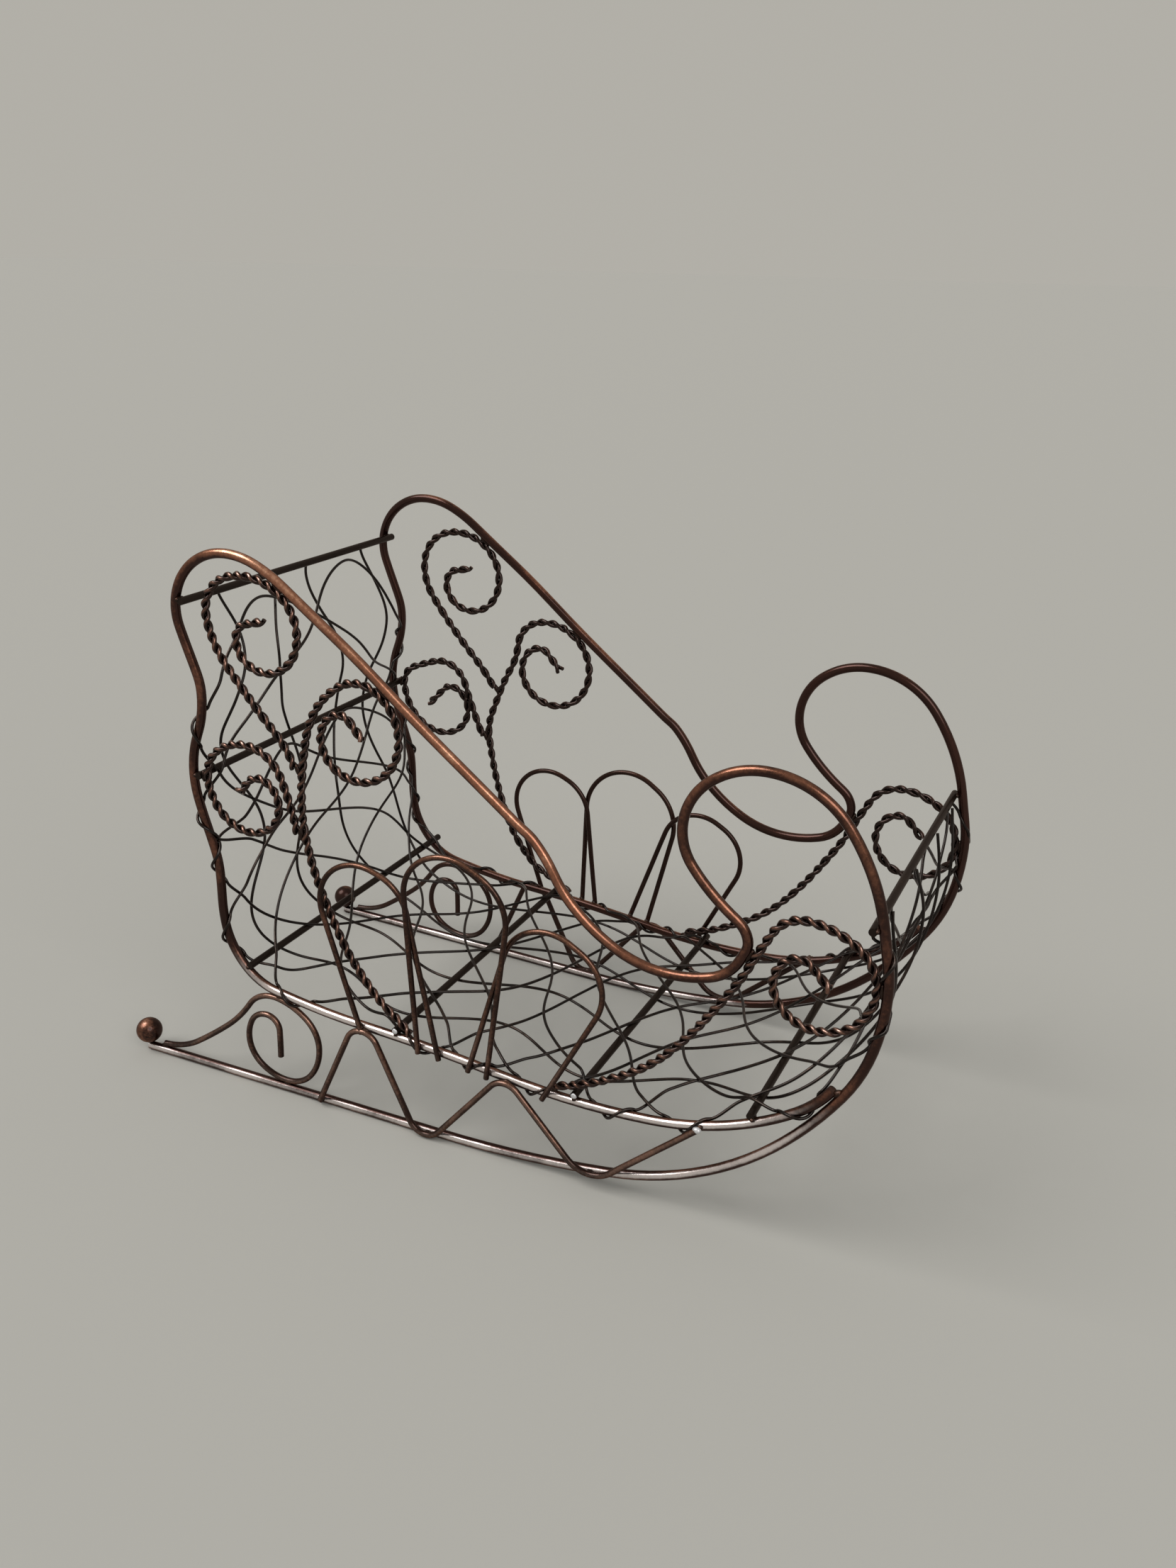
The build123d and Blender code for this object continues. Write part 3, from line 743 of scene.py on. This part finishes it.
def wirePiece(nodeName, make, seed):
    # draws a node's lines as round wire in its place
    piece = linesObject(nodeName + "_round", lines[nodeName])
    grow(piece, roundWire, {
        "Radius": make["across"] * mm / 2, "Sides": make["sides"], "Step": make["step"] * mm,
        "Wander": make["wander"] * mm, "Wander Scale": make["wanderScale"], "Seed": seed,
        "Material": paints[make["paint"]],
    })
    finishPiece(piece, make["paint"], nodeName)


def plainWire(nodeName, make, seed):
    lines[nodeName] = centreLines(nodeName, make["across"])
    across[nodeName] = make["across"]
    if "foot" in make:
        line = lines[nodeName][0]
        ways = directions(line)
        further = make["foot"] * mm
        feet = line[0] - ways[0] * further, line[-1] + ways[-1] * further
        lines[nodeName] = [np.vstack([feet[0], line, feet[1]])]
    wirePiece(nodeName, make, seed)


for seed, side in enumerate(sideNames):
    for name, make in sideWires.items():
        plainWire(side + "_" + name, make, float(seed))
bars = [name for name in nodes if name.endswith("_bar")]
for seed, name in enumerate(bars):
    plainWire(name, barWire, barWire["seed"] + seed)
print("plain wires and cross bars made")


# twisted wires: two strands, each side twisted as tightly as its maker's hand had it

twisted = {
    "strands": 2, "across": 3.8, "sides": 10, "step": 0.7, "pitch": {"left": 12.3, "right": 9.6},
    "uneven": 1.1, "unevenScale": 40.0,        # how unevenly the strands turn
    "splay": 0.55, "splayLength": 4.5,         # how far they part, and over what length
    "turnApart": 1.3, "seedApart": 7.0,        # sets each wire's twist off from the others'
}
twistedWire = twistedWireTree(twisted["strands"])
armNames = ("front_arm", "upper_arm", "rear_arm", "nose_scroll")


def strandsOf(side, name, seed):
    nodeName = side + "_" + name
    lines[nodeName] = centreLines(nodeName, twisted["across"])
    across[nodeName] = twisted["across"]
    piece = linesObject(nodeName + "_strands", lines[nodeName])
    grow(piece, twistedWire, {
        "Radius": twisted["across"] * mm / 4,
        "Sides": twisted["sides"], "Step": twisted["step"] * mm,
        "Pitch": twisted["pitch"][side] * mm, "Start Angle": twisted["turnApart"] * seed,
        "Uneven": twisted["uneven"], "Uneven Scale": twisted["unevenScale"],
        "Splay": twisted["splay"] * mm, "Splay Length": twisted["splayLength"] * mm,
        "Seed": twisted["seedApart"] * seed, "Material": paints["twisted"],
    })
    finishPiece(piece, "twisted", nodeName)


for number, side in enumerate(sideNames):
    for place, name in enumerate(armNames):
        strandsOf(side, name, number + 2.0 * place + 1)
print("twisted wires made")


# the woven mat: where its wires reach the frame they pass once round it

mat = {
    "across": 1.3, "paint": "mat", "sides": 8, "step": 1.2, "wander": 0.25, "wanderScale": 70.0,
    "seed": 11.0,
    "reach": 7.4,          # a wire that turns this near to a side frame is laced round it
    "apart": 30,           # shortest distance between two lacings of one wire
    "slack": 0.35,         # how far a lacing stands off on the outside
    "tuck": (-1.2, 0, -1.9),        # where a wire ends, from the middle of the nose bar
    # numbers of points along a wire, which are 1 mm apart
    "lace": 10,            # half the length that one lacing takes
    "bend": 12,            # length over which the wire bends away to its lacing
    "turn": 22,            # length to either side that shows which way a turn is open
}
matNames = ("mat_zigzag_wires", "mat_long_wires")
for name in matNames:
    lines[name] = centreLines(name, mat["across"])
zigzags = lines["mat_zigzag_wires"]


def bendTo(line, place, pull, step):
    # fades a shift of the wire at one place out along the wire
    reach = min(mat["bend"], place if step < 0 else len(line) - 1 - place)
    for k in range(1, reach + 1):
        share = 1 - k / (mat["bend"] + 1)
        line[place + k * step] += pull * share * share * (3 - 2 * share)


def laceRound(line, place, core, centre, ring):
    # takes the wire once round the core, where it comes near to the core's point "centre"
    half = mat["lace"]
    if place - half < 0 or place + half >= len(line):
        return
    way = directions(core)[centre]
    turn = line[max(0, place - mat["turn"]):place + mat["turn"] + 1]
    middle = turn.mean(axis=0) - core[centre]
    inward = middle - way * middle.dot(way)
    inward /= np.linalg.norm(inward)
    over = np.cross(way, inward)
    travel = 1 if (line[place + half] - line[place - half]).dot(way) > 0 else -1
    before, after = line[place - half].copy(), line[place + half].copy()
    for k in range(-half, half + 1):
        along = core[min(max(centre + travel * k, 0), len(core) - 1)]
        angle = math.pi * (k + half) / half
        stand = ring + mat["slack"] * mm * math.sin(angle / 2) ** 4
        line[place + k] = along + stand * (math.cos(angle) * inward + math.sin(angle) * over)
    bendTo(line, place - half, line[place - half] - before, -1)
    bendTo(line, place + half, line[place + half] - after, 1)


laced = 0
for side in sideNames:
    holder = side + "_frame_wire"
    core = lines[holder][0]
    ring = (across[holder] + mat["across"]) / 2 * mm
    for line in zigzags:
        for place, centre in touching(line, core, mat["reach"] * mm, mat["apart"] * mm):
            laceRound(line, place, core, centre, ring)
            laced += 1

noseLine = lines["nose_bar"][0]
foremost = cadBox[1][0] - mat["across"] / 2 * mm
for line in zigzags:
    for end, step in ((0, 1), (len(line) - 1, -1)):
        # both ends are tucked against the back of the nose bar
        gaps = np.linalg.norm(noseLine - line[end], axis=1)
        pull = noseLine[gaps.argmin()] + np.array(mat["tuck"]) * mm - line[end]
        line[end] += pull
        bendTo(line, end, pull, step)
    line[:, 0] = np.minimum(line[:, 0], foremost)       # no lacing stands out past the nose

for seed, name in enumerate(matNames):
    wirePiece(name, mat, mat["seed"] + seed)
print("mat made, laced at", laced, "places")


# weld beads where wires touch, a few of them bare metal

welds = {
    "slack": 0.45,         # wires nearer than this, surface to surface, are welded
    "apart": 16.0,         # shortest distance between two beads of one joint
    "size": (2.3, 1.25, 1.25),          # half the length, width and height of a bead on thin wire
    "thin": 2.7,           # wire that such a bead suits; on another it is longer or shorter
    "noseSize": (2.6, 1.5, 1.5), "noseWay": (1, 0, 0.6),
    "tip": 60,             # points of a frame wire's end that don't count as what it touches
    "ballSize": (1.9, 1.9, 0.9), "ballDrop": 5.9,       # under the middle of a ball
    "rough": 0.55, "roughScale": 900.0, "seed": 3.0,
    # right-hand ends that lost their finish
    "bareBars": ("rear_floor_bar", "mid_floor_bar"), "barSize": (0.75, 1.35, 1.35),
    "braceSize": (1.9, 1.45, 1.45), "braceWay": (1, 0, 0.1),
}
sideJoints = (
    ("front_arm", "frame_wire"), ("upper_arm", "frame_wire"), ("nose_scroll", "frame_wire"),
    ("upper_arm", "front_arm"), ("rear_arm", "front_arm"), ("runner_scroll", "frame_wire"),
    ("zigzag_brace", "frame_wire"), ("rear_arch", "frame_wire"), ("mid_arch", "frame_wire"),
    ("front_arch", "frame_wire"),
)
beads, bareBeads = [], []


def addBead(where, place, way, size, stretch=1.0):
    long, wide, high = size
    where.append((Vector(place), Vector(way), (long * stretch * mm, wide * mm, high * mm)))


def weldTogether(first, second):
    gap = ((across[first] + across[second]) / 2 + welds["slack"]) * mm
    share = across[first] / (across[first] + across[second])
    stretch = min(across[first], across[second]) / welds["thin"]
    a, b = lines[first][0], lines[second][0]
    for i, j in touching(a, b, gap, welds["apart"] * mm):
        addBead(beads, a[i] + (b[j] - a[i]) * share, directions(a)[i], welds["size"], stretch)


for side in sideNames:
    for first, second in sideJoints:
        weldTogether(side + "_" + first, side + "_" + second)
    weldTogether(side + "_rear_arm", "mid_back_bar")
    for name in bars:
        weldTogether(name, side + "_frame_wire")
    # the floor rail ends on the nose, and the ball sits on the runner's tail
    wire = lines[side + "_frame_wire"][0]
    tip, rest = wire[-1], wire[:-welds["tip"]]
    nose = rest[np.linalg.norm(rest - tip, axis=1).argmin()]
    addBead(beads, (tip + nose) / 2, welds["noseWay"], welds["noseSize"])
    low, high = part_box(side + "_tail_ball")
    under = (Vector(low) + Vector(high)) / 2 - Vector((0, 0, welds["ballDrop"] * mm))
    addBead(beads, under, (1, 0, 0), welds["ballSize"])
for name in welds["bareBars"]:
    end = min(lines[name][0], key=lambda spot: spot[1])
    addBead(bareBeads, end, (0, 1, 0), welds["barSize"])
braceEnd = max(lines["right_zigzag_brace"][0], key=lambda spot: spot[0])
addBead(bareBeads, braceEnd, welds["braceWay"], welds["braceSize"])

beadMaker = beadTree()
for name, paint, spots in (("weld_beads", "weld", beads), ("bare_welds", "bare", bareBeads)):
    piece = spotsObject(name, spots)
    grow(piece, beadMaker, {
        "Rough": welds["rough"] * mm, "Rough Scale": welds["roughScale"], "Seed": welds["seed"],
        "Material": paints[paint],
    })
    finishPiece(piece, paint)
print("welds made:", len(beads) + len(bareBeads))

for side in sideNames:
    for ballSlot in nodes[side + "_tail_ball"].material_slots:
        ballSlot.material = paints["ball"]
print("balls finished")


# floor, light and camera

stage = {
    "floor": (0.42, 0.405, 0.365, 1), "floorRoughness": 0.8, "floorSize": 60.0,
    "backdrop": (0.445, 0.43, 0.39, 1),
    "room": (0.9, 0.92, 0.93, 1), "roomLight": 0.45,
    "keyFrom": (-0.75, -0.55, 1.15), "keyLight": 1.65, "keySoft": 38.0,         # degrees wide
    "fillFrom": (0.9, -0.7, 0.85), "fillLight": 1.0, "fillSoft": 38.0,
}
floorMesh = bpy.data.meshes.new("floor")
half = stage["floorSize"] / 2
corners = [(-half, -half, 0), (half, -half, 0), (half, half, 0), (-half, half, 0)]
floorMesh.from_pydata(corners, [], [(0, 1, 2, 3)])
floor = bpy.data.objects.new("floor", floorMesh)
bpy.context.scene.collection.objects.link(floor)
floorPaint = bpy.data.materials.new("floorPaint")
floorPaint.use_nodes = True
floorSurface = floorPaint.node_tree.nodes["Principled BSDF"]
floorSurface.inputs["Base Color"].default_value = stage["floor"]
floorSurface.inputs["Roughness"].default_value = stage["floorRoughness"]
floorMesh.materials.append(floorPaint)


def softSun(name, source, strength, spread):
    light = bpy.data.lights.new(name, "SUN")
    light.energy = strength
    light.angle = math.radians(spread)
    lamp = bpy.data.objects.new(name, light)
    lamp.rotation_euler = Vector(source).to_track_quat("Z", "Y").to_euler()
    bpy.context.scene.collection.objects.link(lamp)


softSun("key", stage["keyFrom"], stage["keyLight"], stage["keySoft"])
softSun("fill", stage["fillFrom"], stage["fillLight"], stage["fillSoft"])

# the room lights the sleigh evenly, and shows as pale as the floor
world = bpy.data.worlds.new("room")
bpy.context.scene.world = world
world.use_nodes = True
room = world.node_tree
lit = room.nodes["Background"]
lit.inputs["Color"].default_value = stage["room"]
lit.inputs["Strength"].default_value = stage["roomLight"]
seen = addNode(room, "ShaderNodeBackground")
seen.inputs["Color"].default_value = stage["backdrop"]
path = addNode(room, "ShaderNodeLightPath")
shown = calc(room, "MAXIMUM", path.outputs["Is Camera Ray"], path.outputs["Is Glossy Ray"])
mixed = addNode(room, "ShaderNodeMixShader")
room.links.new(shown, mixed.inputs[0])
room.links.new(lit.outputs[0], mixed.inputs[1])
room.links.new(seen.outputs[0], mixed.inputs[2])
room.links.new(mixed.outputs[0], room.nodes["World Output"].inputs["Surface"])

view = {
    "place": (0.2442, -0.4812, 0.3563), "turn": (68.21, -1.15, 25.46),      # metres and degrees
    "lens": 30.34, "sensor": 36.0,
}
camera = bpy.data.cameras.new("camera")
camera.lens = view["lens"]
camera.sensor_width = view["sensor"]
cameraObject = bpy.data.objects.new("camera", camera)
cameraObject.location = view["place"]
cameraObject.rotation_euler = [math.radians(turn) for turn in view["turn"]]
bpy.context.scene.collection.objects.link(cameraObject)
bpy.context.scene.camera = cameraObject
bpy.context.scene.view_settings.view_transform = "Standard"

print("scene ready")
